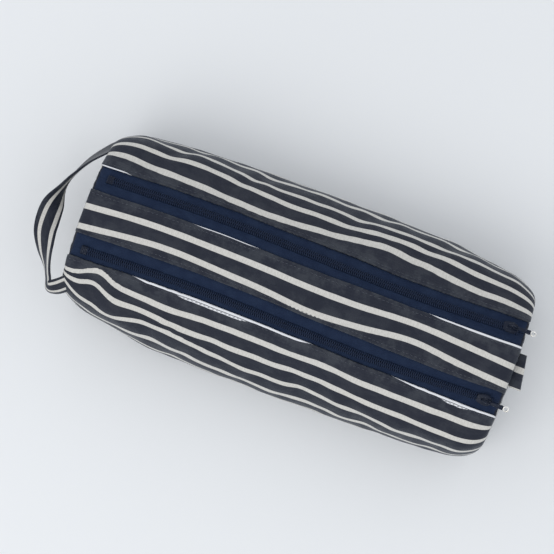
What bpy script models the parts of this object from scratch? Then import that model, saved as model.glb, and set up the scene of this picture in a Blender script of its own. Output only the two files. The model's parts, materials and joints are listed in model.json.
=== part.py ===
"""Shoe bag: a soft, loaf-shaped travel bag with two full-length zips along its top, one to each shoe.

The frame: X runs along the bag, with the carry loop at -X and the sliders' closed end at +X. Z is up.
The origin is the middle of the flat base. Lengths are metres.
"""

import math

import bmesh
import bpy
from mathutils import Matrix, Vector

# Body: overall size and the middle cross-section's corners
LENGTH = 0.350
HEIGHT = 0.110
HALF = LENGTH / 2
HALF_WIDTH = 0.0815
BASE_HALF_WIDTH = 0.0795
STRIP_CORNER = (0.0195, 0.1095)
ZIP_CORNER = (0.0390, 0.1015)
SHOULDER = (0.0600, 0.0790)
BULGE = (HALF_WIDTH, 0.0420)
STRIP_RADIUS = 0.006
ZIP_RADIUS = 0.006
SHOULDER_RADIUS = 0.025
BULGE_RADIUS = 0.022
BASE_RADIUS = 0.020
ARC_STEP = math.radians(12)

# Body: how the ends close in
SIDE_TAPER = 0.011
CORNER_REACH = 0.019
CORNER_INSET = 0.009
TOP_REACH = 0.009
TOP_DROP = 0.006
BASE_REACH = 0.010
BASE_RISE = 0.005

# Sheet thicknesses and gaps
GAP = 0.0003
FABRIC = 0.0016
TAPE = 0.0009
COIL_HEIGHT = 0.0022
BINDING = 0.0010
DIVIDER = 0.0014

# Positions across the fabric, measured from the top's centre line
STRIP_EDGE = 0.0190
ZIP_MIDDLE = 0.0295
TAPE_HIDDEN_EDGE = 0.0150
ZIP_EDGE = 0.0400
TAPE_OUTER_EDGE = 0.0440
COIL_NEAR = 0.0006
COIL_FAR = 0.0032
TAPE_DEPTH = FABRIC + GAP
COIL_DEPTH = TAPE_DEPTH - GAP - COIL_HEIGHT

# Positions along the zips
LIP_START = -0.1605
LIP_END = 0.1280
COIL_JOIN = 0.1668
COIL_END = 0.1690
TAPE_END = 0.1715
STOP_START = -0.1655
SLIDER_REST = 0.1600

# Slider and pull
SLIDER_LENGTH = 0.0115
PLATE_HALF_WIDTH = 0.0044
PLATE = 0.0010
WEB_HALF_WIDTH = 0.0003
WEB_LENGTH = 0.0040
LUG_HALF_WIDTH = 0.0009
LUG_HOLE = 0.0009
PIN_RADIUS = 0.0006
PULL_AXIS_AHEAD = 0.0020
PULL_AXIS_ABOVE = 0.0017
PULL_REACH = 0.0170
PULL_RING_RADIUS = 0.0042
PULL_RING_HOLE = 0.0021
PULL_THICKNESS = 0.0012

# Carry loop at the -X end and pull tab at the +X end
LOOP_AXIS = (-HALF - 0.0035, 0.0780)
LOOP_ROUTE = [(0.000, 0.0540), (0.0075, 0.0400), (0.0155, 0.0220), (0.0195, 0.0050),
              (0.0205, -0.0160), (0.0165, -0.0360), (0.0080, -0.0500), (0.000, -0.0560)]
LOOP_WIDTH = 0.0190
LOOP_NECK = 0.0060
LOOP_THICKNESS = 0.0018
LOOP_SAG = 0.004
TWIST_FROM, TWIST_TO = 0.36, 0.52
TAB_WIDTH = 0.0270
TAB_REACH = 0.0075
TAB_THICKNESS = 0.0024
TAB_HEIGHT = 0.0985

COLOURS = {
    "navy_fabric": ((0.016, 0.024, 0.042, 1), 0.62, 0.0),
    "navy_tape": ((0.022, 0.034, 0.070, 1), 0.75, 0.0),
    "navy_coil": ((0.020, 0.030, 0.062, 1), 0.45, 0.0),
    "navy_lacquer": ((0.014, 0.020, 0.038, 1), 0.30, 0.4),
    "nickel": ((0.72, 0.72, 0.73, 1), 0.22, 1.0),
    "lining": ((0.020, 0.026, 0.040, 1), 0.80, 0.0),
}


# ---------------------------------------------------------------- the outer surface

def rounded_outline(corners, radii):
    """Points along a run of straight lines whose inner corners are rounded by arcs."""
    points = [Vector(corners[0])]
    for before, corner, after, radius in zip(corners, corners[1:], corners[2:], radii):
        corner = Vector(corner)
        back = (Vector(before) - corner).normalized()
        ahead = (Vector(after) - corner).normalized()
        half_angle = back.angle(ahead) / 2
        setback = radius / math.tan(half_angle)
        centre = corner + (back + ahead).normalized() * (radius / math.sin(half_angle))
        start = corner + back * setback - centre
        turn = math.pi - 2 * half_angle
        side = 1 if back.x * ahead.y - back.y * ahead.x < 0 else -1
        steps = max(2, round(turn / ARC_STEP))
        for i in range(steps + 1):
            points.append(centre + Matrix.Rotation(side * turn * i / steps, 2) @ start)
    points.append(Vector(corners[-1]))
    return points


def measured(points):
    """Each point with its distance along the outline."""
    distance = 0.0
    out = [(0.0, points[0])]
    for a, b in zip(points, points[1:]):
        distance += (b - a).length
        out.append((distance, b))
    return out


OUTLINE = measured(rounded_outline(
    [(0.0, HEIGHT), STRIP_CORNER, ZIP_CORNER, SHOULDER, BULGE, (BASE_HALF_WIDTH, 0.0), (0.0, 0.0)],
    [STRIP_RADIUS, ZIP_RADIUS, SHOULDER_RADIUS, BULGE_RADIUS, BASE_RADIUS]))
HALF_GIRTH = OUTLINE[-1][0]
GIRTH = 2 * HALF_GIRTH


def outline_at(distance):
    """Point (y, z) of the middle section at a distance from the top's centre, down the +Y side."""
    for (d0, p0), (d1, p1) in zip(OUTLINE, OUTLINE[1:]):
        if distance <= d1:
            return p0.lerp(p1, (distance - d0) / (d1 - d0))
    return OUTLINE[-1][1].copy()


def distance_of(y, z):
    """Distance along the outline of its point nearest to (y, z)."""
    steps = [HALF_GIRTH * i / 2000 for i in range(2001)]
    return min(steps, key=lambda d: (outline_at(d) - Vector((y, z))).length)


def end_round(x, reach):
    """0 along the body, rising to 1 at its ends in a quarter of an ellipse."""
    q = (abs(x) - (HALF - reach)) / (reach * 1.01)
    return 0.0 if q <= 0 else 1.0 - math.sqrt(max(0.0, 1.0 - q * q))


def skin(x, distance):
    """Point on the bag's outer surface. Distances run all round the girth from the top's centre."""
    around = distance % GIRTH
    side = 1 if around <= HALF_GIRTH else -1
    y, z = outline_at(min(around, GIRTH - around))
    bulge = max(0.0, min(1.0, (y - SHOULDER[0]) / (HALF_WIDTH - SHOULDER[0])))
    y -= bulge * SIDE_TAPER * (abs(x) / HALF) ** 3
    flank = max(0.0, min(1.0, (y - ZIP_CORNER[0]) / (SHOULDER[0] - ZIP_CORNER[0])))
    y -= flank * CORNER_INSET * end_round(x, CORNER_REACH)
    drop = TOP_DROP * end_round(x, TOP_REACH) * z / HEIGHT
    rise = BASE_RISE * end_round(x, BASE_REACH) * (1 - z / HEIGHT)
    return Vector((x, side * y, z - drop + rise))


def inward(x, distance):
    """Unit vector into the bag, in the plane of the cross-section."""
    step = 0.0004
    along = skin(x, distance + step) - skin(x, distance - step)
    return Vector((0.0, along.z, -along.y)).normalized()


def below_skin(x, distance, depth):
    return skin(x, distance) + inward(x, distance) * depth


# ---------------------------------------------------------------- mesh helpers

def material(name):
    found = bpy.data.materials.get(name)
    if found:
        return found
    colour, roughness, metallic = COLOURS[name]
    made = bpy.data.materials.new(name)
    made.use_nodes = True
    shader = made.node_tree.nodes["Principled BSDF"]
    shader.inputs["Base Color"].default_value = colour
    shader.inputs["Roughness"].default_value = roughness
    shader.inputs["Metallic"].default_value = metallic
    return made


def finish_object(name, mesh_data, material_name, location=(0, 0, 0), tilt=0.0):
    """Makes a named object from a bmesh, faces outward, standing at its own origin."""
    bmesh.ops.recalc_face_normals(mesh_data, faces=mesh_data.faces)
    mesh = bpy.data.meshes.new(name)
    mesh_data.to_mesh(mesh)
    mesh_data.free()
    mesh.materials.append(material(material_name))
    obj = bpy.data.objects.new(name, mesh)
    obj.location = location
    obj.rotation_euler = (tilt, 0, 0)
    bpy.context.scene.collection.objects.link(obj)
    return obj


def sheet_piece(name, material_name, xs, ds, depth, thickness, keep=None, origin=(0, 0, 0)):
    """A closed sheet that follows the bag's surface, over the grid cells that keep(x, d) accepts."""
    mesh = bmesh.new()
    shift = Vector(origin)
    verts = {}

    def vert(i, j, level):
        key = (i, j, level)
        if key not in verts:
            deep = depth + thickness * level
            verts[key] = mesh.verts.new(below_skin(xs[i], ds[j], deep) - shift)
        return verts[key]

    cells = {(i, j) for i in range(len(xs) - 1) for j in range(len(ds) - 1)
             if keep is None or keep((xs[i] + xs[i + 1]) / 2, (ds[j] + ds[j + 1]) / 2)}
    for i, j in cells:
        corners = [(i, j), (i + 1, j), (i + 1, j + 1), (i, j + 1)]
        for level in (0, 1):
            mesh.faces.new([vert(a, b, level) for a, b in corners])
        neighbours = [(i, j - 1), (i + 1, j), (i, j + 1), (i - 1, j)]
        for n, neighbour in enumerate(neighbours):
            if neighbour not in cells:
                a, b = corners[n], corners[(n + 1) % 4]
                mesh.faces.new([vert(*a, 0), vert(*b, 0), vert(*b, 1), vert(*a, 1)])
    return finish_object(name, mesh, material_name, origin)


def add_box(mesh, low, high):
    low, high = Vector(low), Vector(high)
    size = high - low
    place = Matrix.Translation((low + high) / 2) @ Matrix.Diagonal((*size, 1))
    bmesh.ops.create_cube(mesh, size=1.0, matrix=place)


def cutter(name, mesh_data):
    """A hidden solid for a Boolean."""
    obj = finish_object(name, mesh_data, "lining")
    obj.hide_render = True
    obj.display_type = "WIRE"
    return obj


def apply_boolean(target, tool, operation):
    change = target.modifiers.new(operation.lower(), "BOOLEAN")
    change.operation = operation
    change.solver = "EXACT"
    change.object = tool


def spread(start, end, count):
    return [start + (end - start) * i / count for i in range(count + 1)]


def x_stations(extra=()):
    """Stations along the body: few in the middle, more where the ends round off."""
    ends = [0.156, 0.1605, 0.1645, 0.1680, 0.1705, 0.1725, 0.1740, HALF]
    middle = spread(-0.140, 0.140, 10)
    stations = sorted(set(middle + ends + [-x for x in ends] + list(extra)))
    return [x for n, x in enumerate(stations) if n == 0 or x - stations[n - 1] > 0.0002]


def between(values, low, high):
    return [low] + [v for v in values if low + 0.0002 < v < high - 0.0002] + [high]


# ---------------------------------------------------------------- fabric pieces

LIP_HINGE = distance_of(*SHOULDER)
SIDE_STATIONS = ([ZIP_EDGE, 0.0500, 0.0600, LIP_HINGE + GAP]
                 + [d for d, point in OUTLINE if LIP_HINGE + 0.002 < d < HALF_GIRTH - 0.010])


def body_wrap():
    """The striped sheet from zip to zip round the base, notched where the two lips open."""
    lip = (LIP_START - GAP, LIP_END + GAP)
    half = SIDE_STATIONS + [HALF_GIRTH - 0.030]
    ds = sorted(set(half + [GIRTH - d for d in half]))
    xs = x_stations(lip)

    def keep(x, d):
        from_top = min(d, GIRTH - d)
        return not (lip[0] < x < lip[1] and from_top < LIP_HINGE + GAP)

    sheet_piece("body_wrap", "navy_fabric", xs, ds, 0.0, FABRIC, keep)


def centre_strip():
    """The striped strip between the zips."""
    ds = [-STRIP_EDGE, -0.014, 0.0, 0.014, STRIP_EDGE]
    sheet_piece("centre_strip", "navy_fabric", x_stations(), ds, 0.0, FABRIC)


def end_panel(name, end):
    """Flat panel that closes one end, inside the wrap's rim."""
    outer = HALF - GAP
    inner = outer - FABRIC
    mesh = bmesh.new()
    count = 72
    rims = []
    for x in (inner, outer):
        rim = []
        for n in range(count):
            p = below_skin(outer * end, GIRTH * n / count, FABRIC + GAP)
            rim.append(mesh.verts.new((x * end, p.y, p.z)))
        mesh.faces.new(rim)
        rims.append(rim)
    for n in range(count):
        m = (n + 1) % count
        mesh.faces.new([rims[0][n], rims[0][m], rims[1][m], rims[1][n]])
    finish_object(name, mesh, "navy_fabric")


def divider_panel():
    """The wall between the two shoes."""
    mesh = bmesh.new()
    reach = 0.1645
    add_box(mesh, (-reach, -DIVIDER / 2, FABRIC + GAP), (reach, DIVIDER / 2, HEIGHT - FABRIC - 2 * GAP))
    finish_object("divider_panel", mesh, "lining")


def seam_binding(name, end):
    """Tape folded over the raw edge inside one end seam."""
    ds = [TAPE_OUTER_EDGE + 0.003] + [d for d in SIDE_STATIONS if d > 0.050]
    ds = sorted(set(ds + [GIRTH - d for d in ds]))
    xs = sorted([0.1655 * end, 0.1710 * end])
    sheet_piece(name, "lining", xs, ds, FABRIC + GAP, BINDING)


# ---------------------------------------------------------------- zips

def zip_tape(name, side):
    """The zip's tape on the centre strip's side, which also crosses over at both ends."""
    ds = [TAPE_HIDDEN_EDGE, 0.020, ZIP_MIDDLE - COIL_NEAR, ZIP_MIDDLE + COIL_NEAR,
          ZIP_EDGE - 0.002, TAPE_OUTER_EDGE]
    xs = between(x_stations((LIP_START - GAP, LIP_END + GAP, COIL_JOIN)), -TAPE_END, TAPE_END)

    def keep(x, d):
        place = abs(d) - ZIP_MIDDLE
        fixed_half = place < -COIL_NEAR
        end_half = x > LIP_END + GAP and place > COIL_NEAR
        return fixed_half or end_half or x < LIP_START or x > COIL_JOIN

    ds = sorted(side * d for d in ds)
    sheet_piece(name, "navy_tape", xs, ds, TAPE_DEPTH, TAPE, keep)


def zip_coil(name, side):
    """The coil's fixed half, joined to the other half past the slider's closed end."""
    ds = [ZIP_MIDDLE - COIL_FAR, ZIP_MIDDLE - COIL_NEAR, ZIP_MIDDLE + COIL_NEAR, ZIP_MIDDLE + COIL_FAR]
    xs = spread(LIP_START, LIP_END + GAP, 6) + [COIL_JOIN, COIL_END]

    def keep(x, d):
        place = abs(d) - ZIP_MIDDLE
        fixed_half = place < -COIL_NEAR
        end_half = x > LIP_END + GAP and place > COIL_NEAR
        return fixed_half or end_half or x > COIL_JOIN

    ds = sorted(side * d for d in ds)
    sheet_piece(name, "navy_coil", xs, ds, COIL_DEPTH, COIL_HEIGHT, keep)


def zip_stop(name, side):
    """The moulded block that ends the coil at -X."""
    ds = [ZIP_MIDDLE - COIL_FAR, ZIP_MIDDLE, ZIP_MIDDLE + COIL_FAR]
    ds = sorted(side * d for d in ds)
    xs = [STOP_START, LIP_START - 2 * GAP]
    sheet_piece(name, "navy_lacquer", xs, ds, COIL_DEPTH, COIL_HEIGHT)


def zip_lip(suffix, side):
    """The flap of body fabric, tape and coil that folds outward about the shoulder."""
    hinge = skin(0.0, side * LIP_HINGE)
    xs = between(x_stations(), LIP_START, LIP_END)
    fabric = [ZIP_EDGE, 0.050, 0.060, LIP_HINGE - GAP]
    tape = [ZIP_MIDDLE + COIL_NEAR, ZIP_EDGE - 0.002, TAPE_OUTER_EDGE]
    coil = [ZIP_MIDDLE + COIL_NEAR, ZIP_MIDDLE + COIL_FAR]
    for name, look, ds, depth, thickness in (
            ("lip_fabric_", "navy_fabric", fabric, 0.0, FABRIC),
            ("lip_tape_", "navy_tape", tape, TAPE_DEPTH, TAPE),
            ("lip_coil_", "navy_coil", coil, COIL_DEPTH, COIL_HEIGHT)):
        across = sorted(side * d for d in ds)
        sheet_piece(name + suffix, look, xs, across, depth, thickness, origin=hinge)


def zip_plane(side):
    """Where the coil's middle is at the slider's rest place, and the zip's tilt about X."""
    middle = COIL_DEPTH + COIL_HEIGHT / 2
    centre = below_skin(SLIDER_REST, side * ZIP_MIDDLE, middle)
    up = -inward(SLIDER_REST, side * ZIP_MIDDLE)
    return centre, math.atan2(-up.y, up.z)


def slider(suffix, side):
    """Slider body: a plate above and below the coil, a web between its halves, and a lug."""
    centre, tilt = zip_plane(side)
    half_coil = COIL_HEIGHT / 2
    top = half_coil + GAP
    bottom = half_coil + GAP + TAPE + GAP
    half = SLIDER_LENGTH / 2
    wide = PLATE_HALF_WIDTH
    body = bmesh.new()
    add_box(body, (-half, -wide, top), (half, wide, top + PLATE))
    block = finish_object("slider_" + suffix, body, "navy_lacquer", centre, tilt)
    extra = [
        ("under_plate", (-half, -wide, -bottom - PLATE), (half, wide, -bottom)),
        ("web", (half - WEB_LENGTH, -WEB_HALF_WIDTH, -bottom - PLATE / 2),
         (half, WEB_HALF_WIDTH, top + PLATE / 2)),
        ("lug", (PULL_AXIS_AHEAD - 0.0040, -LUG_HALF_WIDTH, top + PLATE / 2),
         (PULL_AXIS_AHEAD + 0.0017, LUG_HALF_WIDTH, top + PLATE + PULL_AXIS_ABOVE + 0.0016)),
    ]
    for name, low, high in extra:
        mesh = bmesh.new()
        add_box(mesh, low, high)
        tool = cutter(f"{name}_{suffix}", mesh)
        tool.matrix_world = block.matrix_basis
        apply_boolean(block, tool, "UNION")
    hole = bmesh.new()
    axis = Matrix.Translation((PULL_AXIS_AHEAD, 0, top + PLATE + PULL_AXIS_ABOVE))
    turn = Matrix.Rotation(math.pi / 2, 4, "X")
    bmesh.ops.create_cone(hole, cap_ends=True, segments=16, radius1=LUG_HOLE, radius2=LUG_HOLE,
                          depth=0.01, matrix=axis @ turn)
    tool = cutter("lug_hole_" + suffix, hole)
    tool.matrix_world = block.matrix_basis
    apply_boolean(block, tool, "DIFFERENCE")


def pull_axis(side):
    """The pull's hinge point in the bag's frame."""
    centre, tilt = zip_plane(side)
    height = COIL_HEIGHT / 2 + GAP + PLATE + PULL_AXIS_ABOVE
    return centre + Matrix.Rotation(tilt, 3, "X") @ Vector((PULL_AXIS_AHEAD, 0, height)), tilt


def pull(suffix, side):
    """Pull: a pin through the lug, two arms, and a finger ring at the tip."""
    place, tilt = pull_axis(side)
    arm_in = LUG_HALF_WIDTH + GAP
    arm_out = arm_in + 0.0010
    half = PULL_THICKNESS / 2
    pin = bmesh.new()
    bmesh.ops.create_cone(pin, cap_ends=True, segments=16, radius1=PIN_RADIUS, radius2=PIN_RADIUS,
                          depth=2 * arm_out - 0.0002, matrix=Matrix.Rotation(math.pi / 2, 4, "X"))
    obj = finish_object("pull_" + suffix, pin, "nickel", place, tilt)
    ring = bmesh.new()
    bmesh.ops.create_cone(ring, cap_ends=True, segments=28, radius1=PULL_RING_RADIUS,
                          radius2=PULL_RING_RADIUS, depth=PULL_THICKNESS,
                          matrix=Matrix.Translation((PULL_REACH, 0, 0)))
    shapes = [("ring", ring, "UNION")]
    for name, low, high in (("arm_a", -arm_out, -arm_in), ("arm_b", arm_in, arm_out)):
        arm = bmesh.new()
        add_box(arm, (-0.0009, low, -half * 1.02), (PULL_REACH - 0.0020, high, half * 1.02))
        shapes.append((name, arm, "UNION"))
    neck = bmesh.new()
    add_box(neck, (0.0052, -arm_out * 0.98, -half * 0.98), (PULL_REACH - 0.0026, arm_out * 0.98, half * 0.98))
    shapes.append(("neck", neck, "UNION"))
    hole = bmesh.new()
    bmesh.ops.create_cone(hole, cap_ends=True, segments=20, radius1=PULL_RING_HOLE,
                          radius2=PULL_RING_HOLE, depth=0.01,
                          matrix=Matrix.Translation((PULL_REACH, 0, 0)))
    shapes.append(("ring_hole", hole, "DIFFERENCE"))
    for name, mesh, operation in shapes:
        tool = cutter(f"pull_{name}_{suffix}", mesh)
        tool.matrix_world = obj.matrix_basis
        apply_boolean(obj, tool, operation)


# ---------------------------------------------------------------- carry loop and pull tab

def smooth_route(points, steps):
    """Points on a smooth curve through a few route points."""
    out = []
    ends = [points[0] * 2 - points[1]] + points + [points[-1] * 2 - points[-2]]
    for a, b, c, d in zip(ends, ends[1:], ends[2:], ends[3:]):
        for n in range(steps):
            t = n / steps
            out.append(0.5 * (2 * b + (c - a) * t + (2 * a - 5 * b + 4 * c - d) * t * t
                              + (3 * b - a - 3 * c + d) * t ** 3))
    out.append(points[-1])
    return out


def smoothstep(value, low, high):
    t = max(0.0, min(1.0, (value - low) / (high - low)))
    return t * t * (3 - 2 * t)


def carry_loop():
    """Webbing loop on the end panel: on edge at one corner, then twisted to lie flat."""
    axis_x, axis_z = LOOP_AXIS
    route = smooth_route([Vector((-out, y, 0)) for out, y in LOOP_ROUTE], 4)
    mesh = bmesh.new()
    rows = []
    last = len(route) - 1
    for n, point in enumerate(route):
        share = n / last
        along = (route[min(n + 1, last)] - route[max(n - 1, 0)]).normalized()
        outward = along.cross(Vector((0, 0, 1)))
        twist = math.pi / 2 * (1 - smoothstep(share, TWIST_FROM, TWIST_TO))
        across = outward * math.cos(twist) + Vector((0, 0, 1)) * math.sin(twist)
        face = along.cross(across).normalized()
        wide = LOOP_NECK + (LOOP_WIDTH - LOOP_NECK) * smoothstep(min(share, 1 - share), 0.0, 0.16)
        sag = Vector((0, 0, -LOOP_SAG * math.sin(math.pi * share)))
        row = []
        for a, b in ((-1, -1), (1, -1), (1, 1), (-1, 1)):
            corner = point + sag + across * (a * wide / 2) + face * (b * LOOP_THICKNESS / 2)
            row.append(mesh.verts.new(corner))
        rows.append(row)
    for first, second in zip(rows, rows[1:]):
        for k in range(4):
            m = (k + 1) % 4
            mesh.faces.new([first[k], first[m], second[m], second[k]])
    mesh.faces.new(rows[0])
    mesh.faces.new(rows[-1])
    finish_object("carry_loop", mesh, "navy_fabric", (axis_x, 0, axis_z))


def pull_tab():
    """Folded tab sewn into the end seam between the zips, held while a zip is run."""
    radius = TAB_THICKNESS / 2
    profile = []
    for centre, start in ((TAB_REACH - radius, -math.pi / 2), (0.0, math.pi / 2)):
        for n in range(7):
            angle = start + math.pi * n / 6
            profile.append((centre + radius * math.cos(angle), radius * math.sin(angle)))
    mesh = bmesh.new()
    sides = []
    for y in (-TAB_WIDTH / 2, TAB_WIDTH / 2):
        rim = [mesh.verts.new((x, y, z)) for x, z in profile]
        mesh.faces.new(rim)
        sides.append(rim)
    for n in range(len(profile)):
        m = (n + 1) % len(profile)
        mesh.faces.new([sides[0][n], sides[0][m], sides[1][m], sides[1][n]])
    finish_object("pull_tab", mesh, "navy_fabric", (HALF + GAP + radius, 0, TAB_HEIGHT))


def main():
    for obj in list(bpy.data.objects):
        bpy.data.objects.remove(obj)
    body_wrap()
    centre_strip()
    end_panel("end_panel_left", -1)
    end_panel("end_panel_right", 1)
    divider_panel()
    seam_binding("seam_binding_left", -1)
    seam_binding("seam_binding_right", 1)
    for suffix, side in (("back", 1), ("front", -1)):
        zip_tape("zip_tape_" + suffix, side)
        zip_coil("zip_coil_" + suffix, side)
        zip_stop("zip_stop_" + suffix, side)
        zip_lip(suffix, side)
        slider(suffix, side)
        pull(suffix, side)
    carry_loop()
    pull_tab()


main()
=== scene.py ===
import json
import math

import bpy
import numpy as np
from mathutils import Matrix, Vector


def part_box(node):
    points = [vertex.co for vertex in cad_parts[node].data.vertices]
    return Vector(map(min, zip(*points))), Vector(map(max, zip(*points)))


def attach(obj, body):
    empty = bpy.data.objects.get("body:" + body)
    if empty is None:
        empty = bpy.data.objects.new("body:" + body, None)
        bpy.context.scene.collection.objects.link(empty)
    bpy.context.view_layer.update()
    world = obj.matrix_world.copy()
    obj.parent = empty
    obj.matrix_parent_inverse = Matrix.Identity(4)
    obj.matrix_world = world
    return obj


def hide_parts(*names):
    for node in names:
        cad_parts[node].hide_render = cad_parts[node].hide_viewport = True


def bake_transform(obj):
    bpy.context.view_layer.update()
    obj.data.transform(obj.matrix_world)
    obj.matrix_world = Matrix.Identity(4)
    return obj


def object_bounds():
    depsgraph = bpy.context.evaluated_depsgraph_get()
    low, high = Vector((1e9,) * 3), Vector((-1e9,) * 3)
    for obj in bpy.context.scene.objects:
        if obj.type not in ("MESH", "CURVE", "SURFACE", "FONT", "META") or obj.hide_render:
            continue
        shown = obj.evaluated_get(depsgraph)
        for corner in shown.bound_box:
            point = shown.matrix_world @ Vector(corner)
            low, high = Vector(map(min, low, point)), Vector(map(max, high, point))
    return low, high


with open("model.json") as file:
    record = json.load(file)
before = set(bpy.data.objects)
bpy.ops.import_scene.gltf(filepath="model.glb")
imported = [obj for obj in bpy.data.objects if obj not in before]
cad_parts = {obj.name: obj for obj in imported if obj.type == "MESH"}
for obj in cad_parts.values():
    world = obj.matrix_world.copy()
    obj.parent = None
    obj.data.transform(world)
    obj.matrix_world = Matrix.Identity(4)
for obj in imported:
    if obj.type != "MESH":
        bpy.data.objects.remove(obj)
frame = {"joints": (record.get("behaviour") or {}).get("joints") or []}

# Looks of the shoe bag: striped coated cloth, two coil zips, a webbing loop and a folded tab.
# Lengths are metres. Along the bag is X. "Across" is a distance over the cloth from the top's
# centre line, positive at the back (+Y).

CAD_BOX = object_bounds()

# Body: the middle cross-section's corners (y, z) and the radii that round them
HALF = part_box("body_wrap")[1].x
HEIGHT = 0.110
HALF_WIDTH = 0.0815
SHOULDER_Y = 0.0760
ZIP_CORNER_Y = 0.0390
CORNERS = [(0.0, HEIGHT), (0.0195, 0.1095), (ZIP_CORNER_Y, 0.1015), (SHOULDER_Y, 0.0715),
           (HALF_WIDTH, 0.0420), (0.0795, 0.0), (0.0, 0.0)]
RADII = [0.012, 0.016, 0.058, 0.026, 0.018]

# Body: how the ends close in
SIDE_TAPER = 0.0095
CORNER_REACH, CORNER_INSET = 0.026, 0.011
FLANK_Y = 0.0640
TOP_REACH, TOP_DROP = 0.009, 0.006
BASE_REACH, BASE_RISE = 0.010, 0.005
PULLED_IN = {("front", "left"): 0.0045, ("back", "left"): -0.0005,
             ("front", "right"): -0.0020, ("back", "right"): 0.0025}
SWAY = 0.0019

# Body: the shoulders fill out towards the ends
SHOULDER_AT, SHOULDER_REACH = 0.078, 0.020
FULLER = {"back": 0.0045, "front": 0.0070}
FRONT_SWELL = 0.0018
END_TUCK = 0.0018

# Cloth
CLOTH = 0.0012
FOLD_ROUND = 0.0006
HEM, HEM_WIDTH = 0.0003, 0.009
WRAP_EDGE = 0.0400
EVEN_STEPS_FROM = 0.0048
FIRST_CREAM = {"back": 0.0528, "front": 0.0545}
CREAM_WIDTH = 0.0048
STRIP_CREAM = 0.0045
RIM_NAVY = 0.1010
WRAP_CREAM = {"back": (0.0058, 0.0048, 0.0037), "front": (0.0051, 0.0047, 0.0042)}

# Zips
ZIP_MIDDLE = 0.0295
TAPE_DEPTH = 0.0019
TAPE = 0.0006
TAPE_HIDDEN_EDGE = 0.0150
TAPE_OUTER_EDGE = 0.0440
COIL_HALF_WIDTH = 0.0032
TOOTH_PITCH = 0.0016
TOOTH_RADIUS = 0.00037
COIL_START, COIL_END = -0.1605, 0.1690
STOP_START = -0.1655
PULL_LENGTH = 0.0170
RING_INSET = 0.0016
RING_RADIUS, RING_WIRE = 0.0019, 0.0006
LINK_LENGTH, LINK_HALF_WIDTH, LINK_WIRE = 0.0036, 0.0014, 0.00045
ARM_HALF_THICKNESS = 0.00055
SLIDER_HALF_LENGTH, SLIDER_HALF_WIDTH = 0.00575, 0.0044
PLATE = (0.0014, 0.0024)
UNDERSIDE = (-0.0033, -0.0024)
RAIL_WIRE, BRIDGE_WIRE, POST_WIRE = 0.00048, 0.00062, 0.00032
HARD_EDGE = 0.0003
AXIS_AHEAD, AXIS_ABOVE = 0.0020, 0.0041
STOP_RIB = 0.00085
LIP_LIFT_START = -0.1315

# Topstitching
STITCH_PITCH, STITCH_LENGTH = 0.0034, 0.0025
THREAD_RADIUS = 0.00021
STITCH_LIFT = 0.00005
STITCH_FROM_FOLD = 0.0029

# Inside
BINDING_X = (0.1655, 0.1710)
BINDING_START = 0.0470
DIVIDER_HALF, DIVIDER_SLACK = 0.0006, 0.0035

# Floor and light
FLOOR_HALF, FLOOR_DROP = 6.0, 0.0004
SKY_COLOUR, SKY_STRENGTH = (0.945, 0.970, 1.0, 1), 0.90
WINDOW_PLACE, WINDOW_TARGET = (-0.60, -1.25, 1.85), (0.0, 0.0, 0.05)
WINDOW_SIZE, WINDOW_POWER, WINDOW_COLOUR = 1.7, 12, (1.0, 0.985, 0.96)

SIDES = {"back": 1, "front": -1}


def joint(name):
    return next(j for j in frame["joints"] if j["name"] == name)


# -------- the cloth's surface

def unit(vectors):
    return vectors / np.linalg.norm(vectors, axis=-1, keepdims=True)


def run_along(points):
    """How far each point is along the line through them all."""
    return np.concatenate([[0], np.cumsum(np.linalg.norm(np.diff(points, axis=0), axis=1))])


def rounded_outline(corners, radii):
    """Points along a run of straight lines whose inner corners are rounded by arcs."""
    points = [np.array(corners[0])]
    for before, corner, after, radius in zip(corners, corners[1:], corners[2:], radii):
        corner = np.array(corner)
        back = unit(np.array(before) - corner)
        ahead = unit(np.array(after) - corner)
        half_angle = math.acos(float(back @ ahead)) / 2
        centre = corner + unit(back + ahead) * radius / math.sin(half_angle)
        arm = corner + back * radius / math.tan(half_angle) - centre
        turn = math.pi - 2 * half_angle
        side = 1 if back[0] * ahead[1] - back[1] * ahead[0] < 0 else -1
        for angle in np.linspace(0, side * turn, 24):
            c, s = math.cos(angle), math.sin(angle)
            points.append(centre + np.array([c * arm[0] - s * arm[1], s * arm[0] + c * arm[1]]))
    points.append(np.array(corners[-1]))
    return np.array(points)


OUTLINE = rounded_outline(CORNERS, RADII)
OUTLINE_AT = run_along(OUTLINE)
HALF_GIRTH = OUTLINE_AT[-1]
PERIODS_ROUND = 22
PERIOD = (2 * HALF_GIRTH - FIRST_CREAM["back"] - FIRST_CREAM["front"]) / PERIODS_ROUND


def smooth(value, low, high):
    t = np.clip((value - low) / (high - low), 0, 1)
    return t * t * (3 - 2 * t)


def hump(value, middle, reach):
    return np.exp(-((value - middle) / reach) ** 2)


def end_round(x, reach):
    """0 along the body, rising at its ends along most of a quarter of an ellipse, to 0.86."""
    q = np.clip((np.abs(x) - (HALF - reach)) / (reach * 1.01), 0, 1)
    return 1 - np.sqrt(1 - q * q)


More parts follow.
